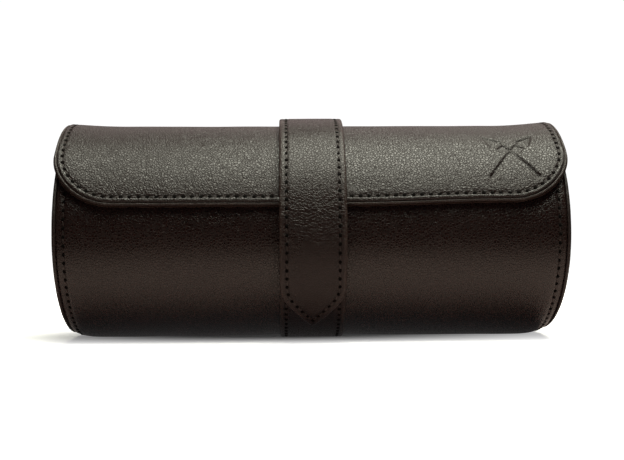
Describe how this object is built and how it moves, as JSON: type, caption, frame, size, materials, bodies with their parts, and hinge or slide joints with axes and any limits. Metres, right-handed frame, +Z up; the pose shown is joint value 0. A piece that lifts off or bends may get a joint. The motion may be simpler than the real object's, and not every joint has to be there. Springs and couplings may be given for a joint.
{
  "type": "brush roll case",
  "caption": "Round leather case that keeps artists' brushes in elastic loops, closed by a wrap-over flap and a pointed strap.",
  "frame": {"origin": "on the surface the case rests on, at the middle of its length, straight below the roll's axis", "axes": "+X along the roll, +Z up, front with the strap's pointed tail towards -Y"},
  "size_m": [0.1946, 0.089, 0.0885],
  "materials": {
    "hide": "dark espresso brown, fine pebble grain, semi-gloss",
    "board": "plain grey-brown stiffener board",
    "suede": "brown microfibre suede, matt",
    "elastic": "black woven elastic",
    "foam": "dense flat stiffener inside the strap and flap",
    "magnet": "flexible magnet, dark grey",
    "steel": "thin steel plate"
  },
  "bodies": {
    "root": {"body_leather": "hide", "body_board": "board", "body_lining": "suede", "lip_facing": "hide", "strike_plate": "steel", "left_piping": "hide", "right_piping": "hide", "left_end_leather": "hide", "right_end_leather": "hide", "left_end_board": "board", "right_end_board": "board", "left_end_lining": "suede", "right_end_lining": "suede", "left_gusset": "hide", "right_gusset": "hide", "flap_seam": "hide", "base_strap": "hide", "strap_anchor": "hide", "loop_panel": "suede", "left_elastic": "elastic", "right_elastic": "elastic"},
    "flap": {"flap_leather": "hide", "flap_core": "foam", "flap_lining": "suede", "strap_face": "hide", "strap_core": "foam", "strap_backing": "hide"},
    "tail": {"tail_face": "hide", "tail_core": "foam", "tail_backing": "hide", "tail_magnet": "magnet"}
  },
  "joints": [
    {"name": "flap_hinge", "type": "hinge", "parent": "root", "child": "flap", "pos_m": [0, 0.01826, 0.08282], "axis": [-1, 0, 0], "range_deg": [0, 150]},
    {"name": "strap_tail", "type": "hinge", "parent": "flap", "child": "tail", "pos_m": [0, -0.04584, 0.05071], "axis": [-1, 0, 0], "range_deg": [0, 120]}
  ]
}
